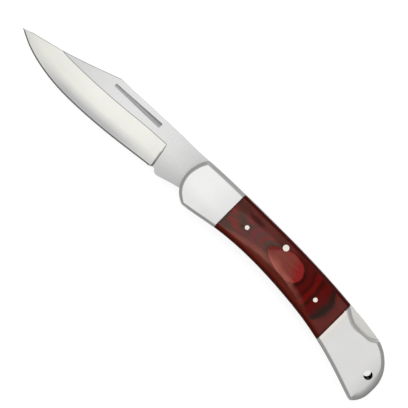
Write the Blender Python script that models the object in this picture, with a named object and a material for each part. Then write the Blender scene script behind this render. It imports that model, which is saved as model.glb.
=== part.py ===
"""Folding lock-back pocket knife, open, lying on its right side.

X runs along the knife, with the tip at -X and the butt at +X. Y points to the spine, and Z is the thickness.
The origin is under the middle of the knife, on the surface that it lies on. All sizes are in metres.
"""

import math

import bmesh
import bpy
from mathutils import Matrix, Vector

for item in list(bpy.data.objects):
    bpy.data.objects.remove(item, do_unlink=True)

# Overall sizes
handle_length = 0.1146
handle_depth = 0.0294
blade_length = 0.0885
blade_width = 0.0223

# The stack, from the middle outwards
blade_stock = 0.0030
well_clearance = 0.0003
liner_thickness = 0.0012
seat_gap = 0.0002
cover_thickness = 0.0034

# Fits
turn_gap = 0.00015
pin_gap = 0.00015
lock_gap = 0.0003
cut_overrun = 0.0010

# The blade's grind, edge and nail nick
edge_shoulder = 0.0005
edge_apex = 0.0001
edge_bevel = 0.0006
tip_thickness = 0.0003
plunge_ramp = 0.0016
nick_depth = 0.0008
hollow_power = 1.5

# The tang and the tooth that locks it
cam_radius = 0.0048
notch_depth = 0.0016
tooth_clearance = 0.0002
tooth_rear_angle = 58.0
tooth_front_angle = 76.0
kick_angle = -116.0

# Pins and the lanyard hole
pivot_pin_radius = 0.0016
lock_pin_radius = 0.00138
lock_boss_radius = 0.0030
scale_pin_radius = 0.0010
spacer_pin_radius = 0.0010
lanyard_radius = 0.0019
bolster_skin = 0.0010

# The rounded rims
bolster_rim_width = 0.0014
bolster_belly_rim_width = 0.0011
bolster_rim_drop = 0.0013
scale_back_rim_width = 0.0017
scale_belly_rim_width = 0.0026
scale_rim_drop = 0.0019

# The leaf spring
leaf_thickness = 0.0009
leaf_width = 0.0024
leaf_bow = 0.0005

# Facets
curve_steps = 2
rim_steps = 3
round_sides = 24

# The handle's outline: shares of handle_length from the front, and of handle_depth from the lowest corner
back_shares = (
    (0.026, 0.967), (0.084, 0.982), (0.200, 0.992), (0.330, 0.998), (0.435, 1.000),
    (0.540, 0.992), (0.646, 0.973), (0.734, 0.945), (0.822, 0.913), (0.897, 0.870),
)
butt_shares = (
    (0.897, 0.870), (0.927, 0.817), (0.948, 0.758), (0.969, 0.679), (0.987, 0.575),
    (0.998, 0.450), (1.000, 0.316), (0.997, 0.184), (0.986, 0.086), (0.965, 0.000),
)
belly_shares = (
    (0.965, 0.000), (0.909, 0.079), (0.822, 0.190), (0.734, 0.280), (0.646, 0.346), (0.540, 0.391),
    (0.453, 0.413), (0.382, 0.420), (0.294, 0.410), (0.200, 0.371), (0.119, 0.313), (0.063, 0.275),
)
front_shares = (
    (0.063, 0.275), (0.031, 0.364), (0.013, 0.453), (0.003, 0.563),
    (0.000, 0.659), (0.004, 0.769), (0.013, 0.879), (0.026, 0.967),
)
thumb_notch_shares = (
    (0.734, 0.928), (0.758, 0.868), (0.786, 0.811), (0.814, 0.791),
    (0.850, 0.790), (0.872, 0.802), (0.886, 0.840), (0.897, 0.870),
)

# Places on the handle, in the same shares
front_joint_share = 0.200
rear_joint_share = 0.734
lock_end_share = 0.897
pivot_shares = (0.059, 0.618)
lock_pin_shares = (0.432, 0.870)
front_scale_pin_shares = (0.285, 0.692)
rear_scale_pin_shares = (0.633, 0.652)
lanyard_shares = (0.950, 0.433)
upper_spacer_pin_shares = (0.929, 0.720)
lower_spacer_pin_shares = (0.934, 0.165)
lock_front_under_share = 0.850
lock_rear_under_shares = (
    (0.897, 0.746), (0.691, 0.752), (0.668, 0.780), (0.646, 0.838), (0.622, 0.862), (0.500, 0.868),
)
leaf_root_shares = (0.931, 0.611)
leaf_tip_shares = (0.676, 0.737)

# The blade's outline: shares of blade_length from the handle to the tip, and of blade_width below the spine
spine_level_share = 0.955
spine_shares = ((0.514, 0.061), (0.441, 0.053), (0.303, 0.031), (0.120, 0.004), (-0.031, -0.011))
clip_shares = ((0.514, 0.061), (0.578, 0.157), (0.670, 0.288), (0.735, 0.376), (0.796, 0.451))
point_shares = ((0.796, 0.451), (0.853, 0.510), (0.945, 0.600), (1.000, 0.669))
edge_shares = (
    (0.132, 0.784), (0.146, 0.823), (0.164, 0.831), (0.258, 0.879), (0.349, 0.926), (0.464, 0.971),
    (0.578, 0.997), (0.670, 1.000), (0.762, 0.971), (0.853, 0.905), (0.922, 0.820), (0.968, 0.736),
    (1.000, 0.669),
)
grind_shares = (
    (0.159, 0.322), (0.280, 0.350), (0.395, 0.396), (0.510, 0.433),
    (0.624, 0.455), (0.716, 0.463), (0.765, 0.461), (0.796, 0.451),
)
plunge_shares = ((0.159, 0.322), (0.150, 0.396), (0.145, 0.488), (0.140, 0.599), (0.132, 0.784))
ricasso_shares = (
    (0.120, 0.790), (0.110, 0.832), (0.096, 0.850), (0.074, 0.828),
    (0.051, 0.799), (0.005, 0.745), (-0.029, 0.710),
)
nick_shares = ((0.514, 0.180), (0.235, 0.114), (0.235, 0.212), (0.514, 0.243))
ramp_shares = (0.0, 0.12, 0.35, 0.65, 1.0)
grind_stations = 20
point_stations = 10
hollow_rows = 8

# Sizes worked out from those above
overall_length = blade_length + handle_length
handle_front = blade_length - overall_length / 2
well_half = blade_stock / 2 + well_clearance
cover_inner = well_half + liner_thickness + seat_gap
handle_half = cover_inner + cover_thickness
middle_height = handle_half
tooth_radius = cam_radius + tooth_clearance


# Materials

def principled(name, colour, roughness, metallic):
    """A material with a Principled shader in the part's colour."""
    material = bpy.data.materials.new(name)
    material.use_nodes = True
    shader = material.node_tree.nodes["Principled BSDF"]
    shader.inputs["Base Color"].default_value = (*colour, 1.0)
    shader.inputs["Roughness"].default_value = roughness
    shader.inputs["Metallic"].default_value = metallic
    return material


# Points and curves in the plane of the knife

def on_handle(shares):
    """A point of the handle from its shares."""
    along_share, up_share = shares
    return Vector((
        handle_front + along_share * handle_length,
        (up_share - 1 / 2) * handle_depth,
    ))


def on_blade(shares):
    """A point of the blade from its shares."""
    out_share, down_share = shares
    spine = on_handle((0, spine_level_share)).y
    return Vector((handle_front - out_share * blade_length, spine - down_share * blade_width))


def polar(centre, radius, degrees):
    """The point at this radius and angle from a centre."""
    angle = math.radians(degrees)
    return centre + radius * Vector((math.cos(angle), math.sin(angle)))


def smooth(points, steps=curve_steps):
    """A smooth curve through the points, with this many steps from each to the next."""
    chords = [(b - a).length for a, b in zip(points, points[1:])]
    slopes = [(b - a) / chord for a, b, chord in zip(points, points[1:], chords)]
    tangents = [slopes[0]]
    for i in range(1, len(slopes)):
        before, after = chords[i - 1], chords[i]
        tangents.append((slopes[i - 1] * after + slopes[i] * before) / (before + after))
    tangents.append(slopes[-1])
    line = []
    for i, chord in enumerate(chords):
        for step in range(steps):
            t = step / steps
            line.append(
                points[i] * (2 * t**3 - 3 * t**2 + 1)
                + tangents[i] * chord * (t**3 - 2 * t**2 + t)
                + points[i + 1] * (3 * t**2 - 2 * t**3)
                + tangents[i + 1] * chord * (t**3 - t**2)
            )
    return line + [points[-1]]


def clipped(line, low, high):
    """The stretch of a line between two X values, with its new ends on them."""
    kept = []
    for a, b in zip(line, line[1:]):
        crossings = []
        for bound in (low, high):
            if (a.x - bound) * (b.x - bound) < 0:
                crossings.append((bound - a.x) / (b.x - a.x))
        if low <= a.x <= high:
            kept.append(a)
        kept += [a.lerp(b, share) for share in sorted(crossings)]
    if low <= line[-1].x <= high:
        kept.append(line[-1])
    return kept


def level_on(line, x):
    """The Y of a line at an X, for a line that passes it once."""
    for a, b in zip(line, line[1:]):
        if (a.x - x) * (b.x - x) <= 0:
            return a.lerp(b, (x - a.x) / (b.x - a.x)).y
    return line[-1].y


def along(line, share):
    """The point at a share of a line's length."""
    lengths = [(b - a).length for a, b in zip(line, line[1:])]
    left = share * sum(lengths)
    for a, b, length in zip(line, line[1:], lengths):
        if left <= length:
            return a.lerp(b, left / length)
        left -= length
    return line[-1]


def line_length(line):
    return sum((b - a).length for a, b in zip(line, line[1:]))


back = smooth([on_handle(s) for s in back_shares])
butt = smooth([on_handle(s) for s in butt_shares])
belly = smooth([on_handle(s) for s in belly_shares])
front = smooth([on_handle(s) for s in front_shares])
thumb_notch = smooth([on_handle(s) for s in thumb_notch_shares])

pivot = on_handle(pivot_shares)
lock_pin = on_handle(lock_pin_shares)
lanyard = on_handle(lanyard_shares)
front_joint = on_handle((front_joint_share, 0)).x
rear_joint = on_handle((rear_joint_share, 0)).x
lock_end = on_handle((lock_end_share, 0)).x
spacer_front = lock_end + lock_gap


# Solids

def finish(name, mesh, material, location=(0.0, 0.0, 0.0)):
    """An object of a bmesh, with its origin moved to a location and its round faces shaded smooth."""
    bmesh.ops.translate(mesh, verts=mesh.verts, vec=-Vector(location))
    bmesh.ops.recalc_face_normals(mesh, faces=mesh.faces)
    data = bpy.data.meshes.new(name)
    mesh.to_mesh(data)
    mesh.free()
    data.shade_smooth()
    data.set_sharp_from_angle(angle=math.radians(30))
    if material:
        data.materials.append(material)
    piece = bpy.data.objects.new(name, data)
    piece.location = location
    bpy.context.collection.objects.link(piece)
    return piece


def rimmed(*stretches):
    """The points of an outline and the rim width of the edge after each.

    A stretch is its line and its rim width. The edge from one stretch's end to the next stretch has no rim.
    """
    points, widths = [], []
    for line, width in stretches:
        if points and (points[-1] - line[0]).length < turn_gap:
            points.pop()
            widths.pop()
        points += line
        widths += [width] * (len(line) - 1) + [0.0]
    if (points[-1] - points[0]).length < turn_gap:
        points.pop()
        widths.pop()
    return points, widths


def inset(points, widths, share):
    """A clockwise outline with each edge moved inwards by a share of its rim width."""
    moved = []
    for i, point in enumerate(points):
        before = (point - points[i - 1]).normalized()
        after = (points[(i + 1) % len(points)] - point).normalized()
        first, second = Vector((before.y, -before.x)), Vector((after.y, -after.x))
        near, far = widths[i - 1] * share, widths[i] * share
        turn = first.x * second.y - first.y * second.x
        if abs(turn) < 0.02:
            moved.append(point + (first + second).normalized() * (near + far) / 2)
        else:
            moved.append(point + Vector((
                (near * second.y - far * first.y) / turn,
                (far * first.x - near * second.x) / turn,
            )))
    return moved


def plate(name, outline, inner, outer, side, material, drop=0.0, location=(0.0, 0.0, 0.0)):
    """A flat piece from inner to outer above the middle plane, or below it where side is -1.

    Where drop is more than zero, its outer face has a rim that rounds off over the outline's widths.
    """
    points, widths = outline
    rings = [(0.0, inner), (0.0, outer - drop)]
    if drop:
        for step in range(1, rim_steps + 1):
            turn = math.pi / 2 * step / rim_steps
            rings.append((1 - math.cos(turn), outer - drop * (1 - math.sin(turn))))
    mesh = bmesh.new()
    loops = []
    for share, height in rings:
        level = middle_height + side * height
        loops.append([mesh.verts.new((p.x, p.y, level)) for p in inset(points, widths, share)])
    for low, high in zip(loops, loops[1:]):
        for i in range(len(low)):
            follow = (i + 1) % len(low)
            mesh.faces.new((low[i], low[follow], high[follow], high[i]))
    mesh.faces.new(loops[0])
    mesh.faces.new(loops[-1])
    return finish(name, mesh, material, location)


def plain(line):
    """An outline without a rim."""
    return line, [0.0] * len(line)


def cylinder(name, centre, radius, low, high, material):
    """A pin along Z between two heights above the middle plane, with its origin on its axis."""
    mesh = bmesh.new()
    bmesh.ops.create_cone(
        mesh, cap_ends=True, segments=round_sides, radius1=radius, radius2=radius, depth=high - low
    )
    place = (centre.x, centre.y, middle_height + (low + high) / 2)
    bmesh.ops.translate(mesh, verts=mesh.verts, vec=place)
    return finish(name, mesh, material, place)


def as_cutter(piece):
    """Marks a piece as a tool that only cuts."""
    piece.hide_render = True
    piece.display_type = "WIRE"
    return piece


def cut(piece, *cutters):
    """Takes the cutters' shapes out of a piece."""
    for cutter in cutters:
        boolean = piece.modifiers.new(cutter.name, "BOOLEAN")
        boolean.operation = "DIFFERENCE"
        boolean.solver = "EXACT"
        boolean.object = cutter


# The cutters for the pins and the lanyard hole

def through_cutter(name, centre, radius):
    """A round cutter that runs out past both sides of the knife."""
    reach = handle_half + cut_overrun
    return as_cutter(cylinder(name, centre, radius, -reach, reach, None))


def blind_cutter(name, centre, radius):
    """A round cutter that stops inside the bolsters and leaves their skin whole."""
    reach = handle_half - bolster_skin
    return as_cutter(cylinder(name, centre, radius, -reach, reach, None))


front_scale_pin = on_handle(front_scale_pin_shares)
rear_scale_pin = on_handle(rear_scale_pin_shares)
upper_spacer_pin = on_handle(upper_spacer_pin_shares)
lower_spacer_pin = on_handle(lower_spacer_pin_shares)

pivot_hole = blind_cutter("pivot_hole", pivot, pivot_pin_radius + pin_gap)
blade_hole = blind_cutter("blade_hole", pivot, pivot_pin_radius + turn_gap)
lock_hole = through_cutter("lock_hole", lock_pin, lock_pin_radius + pin_gap)
lock_bar_hole = through_cutter("lock_bar_hole", lock_pin, lock_pin_radius + turn_gap)
front_scale_hole = through_cutter("front_scale_hole", front_scale_pin, scale_pin_radius + pin_gap)
rear_scale_hole = through_cutter("rear_scale_hole", rear_scale_pin, scale_pin_radius + pin_gap)
upper_spacer_hole = blind_cutter("upper_spacer_hole", upper_spacer_pin, spacer_pin_radius + pin_gap)
lower_spacer_hole = blind_cutter("lower_spacer_hole", lower_spacer_pin, spacer_pin_radius + pin_gap)
lanyard_hole = through_cutter("lanyard_hole", lanyard, lanyard_radius)


# The blade

def tooth_front():
    """The X of the tooth's front wall, which stands square so that the nose lifts past the tang."""
    return polar(pivot, tooth_radius, tooth_front_angle).x


def tang_line():
    """The tang's outline clockwise from the kick to the spine: the cam, the lock notch and its shoulder."""
    floor = cam_radius - notch_depth
    rear_side = math.degrees(math.asin(lock_gap / cam_radius))
    rear_cam = tooth_rear_angle - rear_side
    turns = round_sides // 2
    cam = [
        polar(pivot, cam_radius, kick_angle + (rear_cam - kick_angle) * step / turns)
        for step in range(turns + 1)
    ]
    rear_wall = polar(Vector((0.0, 0.0)), lock_gap, tooth_rear_angle - 90)
    shoulder = tooth_front() - lock_gap
    notch = [
        polar(pivot, floor, tooth_rear_angle) + rear_wall,
        Vector((shoulder, polar(pivot, floor, tooth_front_angle).y)),
    ]
    return cam + notch + [Vector((shoulder, level_on(back, shoulder)))]


def blade_body():
    """The blade: a flat plate for the ricasso and tang, and a hollow-ground grid on both sides up to the edge."""
    half = blade_stock / 2
    grind = smooth([on_blade(s) for s in grind_shares])
    point = smooth([on_blade(s) for s in point_shares])
    edge = smooth([on_blade(s) for s in edge_shares])
    plunge = smooth([on_blade(s) for s in plunge_shares])
    top = grind + point[1:]
    meeting = line_length(grind) / line_length(top)
    ramp = plunge_ramp / line_length(top)
    stations = [ramp * share for share in ramp_shares]
    stations += [ramp + (meeting - ramp) * i / grind_stations for i in range(1, grind_stations + 1)]
    stations += [meeting + (1 - meeting) * i / point_stations for i in range(1, point_stations)]
    full_width = (along(top, meeting) - along(edge, meeting)).length

    mesh = bmesh.new()

    def pair(place, thickness):
        """The same point on the left and the right face."""
        return [
            mesh.verts.new((place.x, place.y, middle_height + side * thickness))
            for side in (1, -1)
        ]

    columns = []
    for station in stations:
        high, low = along(top, station), along(edge, station)
        width = (high - low).length
        shoulder = max(1 - edge_bevel / width, 1 / 2)
        rows = [shoulder * i / hollow_rows for i in range(hollow_rows + 1)] + [1.0]
        near = min(station / ramp, 1.0)
        sweep = math.sqrt(1 - (1 - near) ** 2)
        bulge = max(1 - station / (meeting / 3), 0.0)
        column = []
        for row in rows:
            place = high.lerp(low, row)
            place += (along(plunge, row) - plunge[0].lerp(plunge[-1], row)) * bulge
            ground = width if station <= meeting else full_width
            rise = min((shoulder - row) * width / (shoulder * ground), 1.0) if row < shoulder else 0.0
            thickness = edge_shoulder / 2 + (half - edge_shoulder / 2) * rise**hollow_power
            if row == 1.0:
                thickness = edge_apex / 2
            column.append(pair(place, half - (half - thickness) * sweep))
        columns.append(column)
    tip = pair(point[-1], tip_thickness / 2)

    for first, second in zip(columns, columns[1:]):
        for row in range(len(first) - 1):
            for side in (0, 1):
                mesh.faces.new((
                    first[row][side], second[row][side],
                    second[row + 1][side], first[row + 1][side],
                ))
        mesh.faces.new((first[-1][0], second[-1][0], second[-1][1], first[-1][1]))
    last = columns[-1]
    for row in range(len(last) - 1):
        for side in (0, 1):
            mesh.faces.new((last[row][side], tip[side], last[row + 1][side]))
    mesh.faces.new((last[-1][0], tip[0], tip[1], last[-1][1]))

    meeting_column = len(ramp_shares) + grind_stations - 1
    for first, second in zip(columns[meeting_column:], columns[meeting_column + 1:]):
        mesh.faces.new((first[0][0], second[0][0], second[0][1], first[0][1]))
    mesh.faces.new((last[0][0], tip[0], tip[1], last[0][1]))

    tang = tang_line()
    spine = smooth([on_blade(s) for s in spine_shares] + [tang[-1]])
    clip = smooth([on_blade(s) for s in reversed(clip_shares)])
    ricasso = smooth([on_blade(s) for s in ricasso_shares])
    rim = [pair(place, half) for place in ricasso + tang + spine[-2:0:-1] + clip[:0:-1]]
    free = [columns[0][-1]] + rim + [columns[meeting_column][0]]
    for first, second in zip(free, free[1:]):
        mesh.faces.new((first[0], second[0], second[1], first[1]))
    ground = [column[0] for column in columns[meeting_column - 1:0:-1]] + columns[0][:-1]
    for side in (0, 1):
        mesh.faces.new([both[side] for both in free + ground])

    place = (pivot.x, pivot.y, middle_height)
    blade = finish("blade", mesh, principled("blade steel", (0.62, 0.62, 0.61), 0.28, 1.0), place)
    cut(blade, blade_hole, nick_cutter())
    return blade


def nick_cutter():
    """A long wedge that is deepest along the nail nick's upper edge."""
    upper_out, upper_in, lower_in, lower_out = [on_blade(s) for s in nick_shares]
    face = middle_height + blade_stock / 2
    over = face + cut_overrun
    mesh = bmesh.new()
    for place in (upper_out, upper_in):
        mesh.verts.new((place.x, place.y, face - nick_depth))
        mesh.verts.new((place.x, place.y, over))
    for place in (lower_in, lower_out):
        mesh.verts.new((place.x, place.y, face))
        mesh.verts.new((place.x, place.y, over))
    bmesh.ops.convex_hull(mesh, input=mesh.verts)
    return as_cutter(finish("nail_nick", mesh, None))


# The lock bar and its spring

def lock_bar_line():
    """The lock bar's outline clockwise: its flush top, the thumb block, the pin's boss, the arm and the tooth."""
    rear_angle, front_angle = tooth_rear_angle, tooth_front_angle
    level = on_handle((0, lock_front_under_share)).y
    top = clipped(back, tooth_front(), lock_end)
    under = smooth([on_handle(s) for s in lock_rear_under_shares])
    drop = level - lock_pin.y
    boss_end = -180 - math.degrees(math.asin(drop / lock_boss_radius))
    boss_start = math.degrees(math.asin((under[-1].y - lock_pin.y) / lock_boss_radius))
    turns = round_sides // 3
    boss = [
        polar(lock_pin, lock_boss_radius, boss_start + (boss_end - boss_start) * step / turns)
        for step in range(turns + 1)
    ]
    wall_rise = (level - pivot.y) / math.sin(math.radians(rear_angle))
    tooth = [polar(pivot, wall_rise, rear_angle)] + [
        polar(pivot, tooth_radius, rear_angle + (front_angle - rear_angle) * step / 3)
        for step in range(4)
    ]
    return top + under + boss + tooth


def leaf_line(reach):
    """The middle line of the leaf spring from its root in the spacer, bowed up, over a share of its length."""
    root, tip = on_handle(leaf_root_shares), on_handle(leaf_tip_shares)
    steps = 8
    line = []
    for step in range(steps + 1):
        share = reach * step / steps
        line.append(root.lerp(tip, share) + Vector((0.0, -leaf_bow * math.sin(math.pi * share))))
    return line


def ribbon(line, thickness):
    """The outline round a line, at half a thickness on each side, clockwise for a line that runs to -X."""
    upper, lower = [], []
    for i, place in enumerate(line):
        run = (line[min(i + 1, len(line) - 1)] - line[max(i - 1, 0)]).normalized()
        across = Vector((run.y, -run.x)) * thickness / 2
        upper.append(place + across)
        lower.append(place - across)
    return lower + upper[::-1]


def lock_bar_body(steel):
    bar = plate(
        "lock_bar", plain(lock_bar_line()), -blade_stock / 2, blade_stock / 2, 1, steel,
        location=(lock_pin.x, lock_pin.y, middle_height),
    )
    cut(bar, lock_bar_hole)
    return bar


def lock_spring_body():
    steel = principled("spring steel", (0.45, 0.46, 0.48), 0.35, 1.0)
    outline = plain(ribbon(leaf_line(1.0), leaf_thickness))
    return plate("lock_spring", outline, -leaf_width / 2, leaf_width / 2, 1, steel)


# The handle's own pieces

def back_spacer_body(steel):
    """The block between the liners at the butt, with the slot that holds the spring's root."""
    seat = well_half - seat_gap
    high = butt[:1] + [p for p in butt[1:] if p.x > spacer_front or p.y < lanyard.y]
    high[0] = Vector((spacer_front, level_on(butt, spacer_front)))
    low = clipped(belly, spacer_front, belly[0].x)
    spacer = plate("back_spacer", plain(high + low[1:]), -seat, seat, 1, steel)
    root = leaf_line(0.35)
    root.insert(0, root[0] + (root[0] - root[1]).normalized() * lock_gap)
    slot_half = leaf_width / 2 + seat_gap
    slot = plate(
        "spring_slot", plain(ribbon(root, leaf_thickness + 2 * pin_gap)), -slot_half, slot_half, 1, None
    )
    cut(spacer, as_cutter(slot), upper_spacer_hole, lower_spacer_hole, lanyard_hole)
    return spacer


def liner_body(label, side, steel):
    """A liner of the handle's whole outline, with the thumb notch at the release."""
    points, widths = rimmed(
        (clipped(back, back[0].x, rear_joint), 0.0), (thumb_notch, 0.0), (butt, 0.0), (belly, 0.0), (front, 0.0)
    )
    liner = plate("liner_" + label, (points, widths), well_half, well_half + liner_thickness, side, steel)
    cut(
        liner, pivot_hole, lock_hole, front_scale_hole, rear_scale_hole,
        upper_spacer_hole, lower_spacer_hole, lanyard_hole,
    )
    return liner


def front_bolster_body(label, side, steel):
    end = front_joint - seat_gap / 2
    outline = rimmed(
        (front + clipped(back, back[0].x, end)[1:], bolster_rim_width),
        (clipped(belly, belly[-1].x, end), bolster_belly_rim_width),
    )
    bolster = plate(
        "front_bolster_" + label, outline, cover_inner, handle_half, side, steel, bolster_rim_drop
    )
    cut(bolster, pivot_hole)
    return bolster


def rear_bolster_body(label, side, steel):
    start = rear_joint + seat_gap / 2
    notch = clipped(thumb_notch, start, lock_end)
    outline = rimmed(
        (notch + butt[1:], bolster_rim_width),
        (clipped(belly, start, belly[0].x), bolster_belly_rim_width),
    )
    bolster = plate(
        "rear_bolster_" + label, outline, cover_inner, handle_half, side, steel, bolster_rim_drop
    )
    cut(bolster, upper_spacer_hole, lower_spacer_hole, lanyard_hole)
    return bolster


def scale_body(label, side, wood):
    start, end = front_joint + seat_gap / 2, rear_joint - seat_gap / 2
    outline = rimmed(
        (clipped(back, start, end), scale_back_rim_width),
        (clipped(belly, start, end), scale_belly_rim_width),
    )
    scale = plate("scale_" + label, outline, cover_inner, handle_half, side, wood, scale_rim_drop)
    cut(scale, lock_hole, front_scale_hole, rear_scale_hole)
    return scale


def pins():
    """The pivot, the lock bar's pin, the rivets of the scales and the pins of the spacer."""
    steel = principled("pin steel", (0.60, 0.60, 0.60), 0.30, 1.0)
    brass = principled("pin nickel silver", (0.80, 0.76, 0.66), 0.30, 1.0)
    buried = handle_half - bolster_skin - seat_gap
    made = [
        cylinder("blade_pivot_pin", pivot, pivot_pin_radius, -buried, buried, steel),
        cylinder("lock_bar_pin", lock_pin, lock_pin_radius, -handle_half, handle_half, brass),
        cylinder("spacer_pin_upper", upper_spacer_pin, spacer_pin_radius, -buried, buried, steel),
        cylinder("spacer_pin_lower", lower_spacer_pin, spacer_pin_radius, -buried, buried, steel),
    ]
    for label, side in (("left", 1), ("right", -1)):
        for place_name, place in (("front", front_scale_pin), ("rear", rear_scale_pin)):
            ends = sorted((side * well_half, side * handle_half))
            name = "scale_pin_" + place_name + "_" + label
            made.append(cylinder(name, place, scale_pin_radius, *ends, brass))
    return made


# Assembly

def empty(name, place):
    """A frame that pieces are parented to."""
    frame = bpy.data.objects.new(name, None)
    frame.location = place
    bpy.context.collection.objects.link(frame)
    return frame


def carry(frame, *pieces):
    """Parents pieces to a frame and leaves them where they are."""
    for piece in pieces:
        piece.parent = frame
        piece.matrix_parent_inverse = Matrix.Translation(-frame.location)


def build():
    polished = principled("bolster steel", (0.78, 0.78, 0.78), 0.16, 1.0)
    liner_steel = principled("liner steel", (0.55, 0.55, 0.55), 0.30, 1.0)
    bar_steel = principled("lock bar steel", (0.60, 0.60, 0.60), 0.25, 1.0)
    wood = principled("red laminated wood", (0.16, 0.02, 0.015), 0.30, 0.0)
    handle_frame = empty("handle_frame", (0.0, 0.0, middle_height))
    for label, side in (("left", 1), ("right", -1)):
        carry(
            handle_frame,
            liner_body(label, side, liner_steel),
            front_bolster_body(label, side, polished),
            rear_bolster_body(label, side, polished),
            scale_body(label, side, wood),
        )
    carry(handle_frame, back_spacer_body(bar_steel), lock_spring_body(), *pins())
    carry(empty("blade_axis", (pivot.x, pivot.y, middle_height)), blade_body())
    carry(empty("lock_bar_axis", (lock_pin.x, lock_pin.y, middle_height)), lock_bar_body(bar_steel))


build()
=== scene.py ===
"""Folding lock-back pocket knife, open, lying on its right side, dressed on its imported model.

X runs along the knife, with the tip at -X and the butt at +X. Y points to the spine, and Z is the thickness.
"""

import math

import bmesh
import bpy
from mathutils import Matrix, Vector


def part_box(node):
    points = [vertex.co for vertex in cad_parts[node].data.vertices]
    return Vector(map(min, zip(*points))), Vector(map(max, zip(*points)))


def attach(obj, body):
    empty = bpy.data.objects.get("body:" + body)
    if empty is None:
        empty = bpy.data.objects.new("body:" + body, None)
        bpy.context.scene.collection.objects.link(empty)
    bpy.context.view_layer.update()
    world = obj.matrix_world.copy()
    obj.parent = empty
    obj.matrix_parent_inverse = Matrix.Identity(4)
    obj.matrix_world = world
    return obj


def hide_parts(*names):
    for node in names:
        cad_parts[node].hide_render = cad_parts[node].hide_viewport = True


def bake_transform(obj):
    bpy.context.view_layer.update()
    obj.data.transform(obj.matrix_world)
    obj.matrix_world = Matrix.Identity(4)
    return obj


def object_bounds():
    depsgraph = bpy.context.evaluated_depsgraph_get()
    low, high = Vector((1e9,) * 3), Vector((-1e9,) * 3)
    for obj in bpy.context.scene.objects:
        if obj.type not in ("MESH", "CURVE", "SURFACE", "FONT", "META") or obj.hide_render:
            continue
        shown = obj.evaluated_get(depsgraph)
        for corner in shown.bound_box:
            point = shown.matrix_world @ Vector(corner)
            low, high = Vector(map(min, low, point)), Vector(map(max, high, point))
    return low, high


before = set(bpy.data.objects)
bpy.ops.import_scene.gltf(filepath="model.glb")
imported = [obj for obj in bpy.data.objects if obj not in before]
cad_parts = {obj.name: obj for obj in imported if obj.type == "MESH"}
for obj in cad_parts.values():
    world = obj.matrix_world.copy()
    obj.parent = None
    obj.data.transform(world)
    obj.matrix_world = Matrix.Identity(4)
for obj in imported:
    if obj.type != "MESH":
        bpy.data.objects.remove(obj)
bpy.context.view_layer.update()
low_corner, high_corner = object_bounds()


# The camera stands about 0.8 m over the knife, a little on the spine's side, with the knife's length running
# from the picture's upper left to its lower right.

aim = Vector((0.0007, -0.0002, 0.0066))
stand = Vector((-0.0006, 0.0350, 0.8066))
picture_width = 0.1650

look = (aim - stand).normalized()
length_way = (Vector((1, 0, 0)) - look * look.x).normalized()
spine_way = look.cross(length_way) * -1
right_way = (length_way + spine_way).normalized()
up_way = (spine_way - length_way).normalized()
turn = Matrix((right_way, up_way, -look)).transposed().to_4x4()
camera = bpy.data.objects.new("camera", bpy.data.cameras.new("camera"))
camera.matrix_world = Matrix.Translation(stand) @ turn
camera.data.lens = camera.data.sensor_width * (aim - stand).length / picture_width
camera.data.clip_start = 0.05
camera.data.clip_end = 20.0
bpy.context.collection.objects.link(camera)
bpy.context.scene.camera = camera
bpy.context.scene.view_settings.view_transform = "Standard"


# The studio: a pale floor, white surroundings, one wide soft lamp overhead, and a wall all round, grey at its foot
# and white at its top, that only polished surfaces mirror, so that rounded edges read against the white.

white = (1.0, 1.0, 1.0, 1.0)
surround_strength = 0.55
round_sides = 96
floor_radius = 3.0
floor_drop = 0.0001
floor_bounce = (0.8, 0.8, 0.8, 1.0)
floor_shade = (0.24, 0.24, 0.24, 1.0)
floor_glow = 0.80
wall_radius = 1.8
wall_top_radius = wall_radius * 0.9
wall_foot = 0.02
wall_height = 3.6
wall_greys = ((0.0, 0.30), (0.20, 0.40), (0.42, 0.66), (0.75, 1.0))
lamp_place = Vector((-0.35, 0.45, 1.5))
lamp_width = 1.6
lamp_watts = 26.0


def add(tree, kind, inputs=None, **settings):
    """A shader node with its settings, and its inputs set to values or joined to other nodes' outputs."""
    made = tree.nodes.new(kind)
    for key, value in settings.items():
        setattr(made, key, value)
    for key, value in (inputs or {}).items():
        if isinstance(value, bpy.types.NodeSocket):
            tree.links.new(value, made.inputs[key])
        else:
            made.inputs[key].default_value = value
    return made


def ramp(tree, factor, stops, interpolation="LINEAR"):
    """The colour that a factor picks from a row of stops, each a place and a colour or a grey."""
    made = add(tree, "ShaderNodeValToRGB", {0: factor})
    row = made.color_ramp
    row.interpolation = interpolation
    while len(row.elements) < len(stops):
        row.elements.new(1.0)
    for element, (place, colour) in zip(row.elements, stops):
        element.position = place
        element.color = (*colour, 1.0) if isinstance(colour, tuple) else (colour, colour, colour, 1.0)
    return made.outputs[0]


def seen_directly(tree):
    """1 for rays from the camera and for those mirrored or let through by a surface, else 0."""
    path = add(tree, "ShaderNodeLightPath")
    either = add(tree, "ShaderNodeMath", {
        0: path.outputs["Is Camera Ray"], 1: path.outputs["Is Glossy Ray"],
    }, operation="MAXIMUM")
    return add(tree, "ShaderNodeMath", {
        0: either.outputs[0], 1: path.outputs["Is Transmission Ray"],
    }, operation="MAXIMUM").outputs[0]


surround = bpy.data.worlds.new("surround")
surround.use_nodes = True
tree = surround.node_tree
tree.nodes.clear()
lit = add(tree, "ShaderNodeBackground", {"Color": white, "Strength": surround_strength})
shown = add(tree, "ShaderNodeBackground", {"Color": white, "Strength": 1.0})
either = add(tree, "ShaderNodeMixShader", {0: seen_directly(tree), 1: lit.outputs[0], 2: shown.outputs[0]})
add(tree, "ShaderNodeOutputWorld", {"Surface": either.outputs[0]})
bpy.context.scene.world = surround

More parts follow.
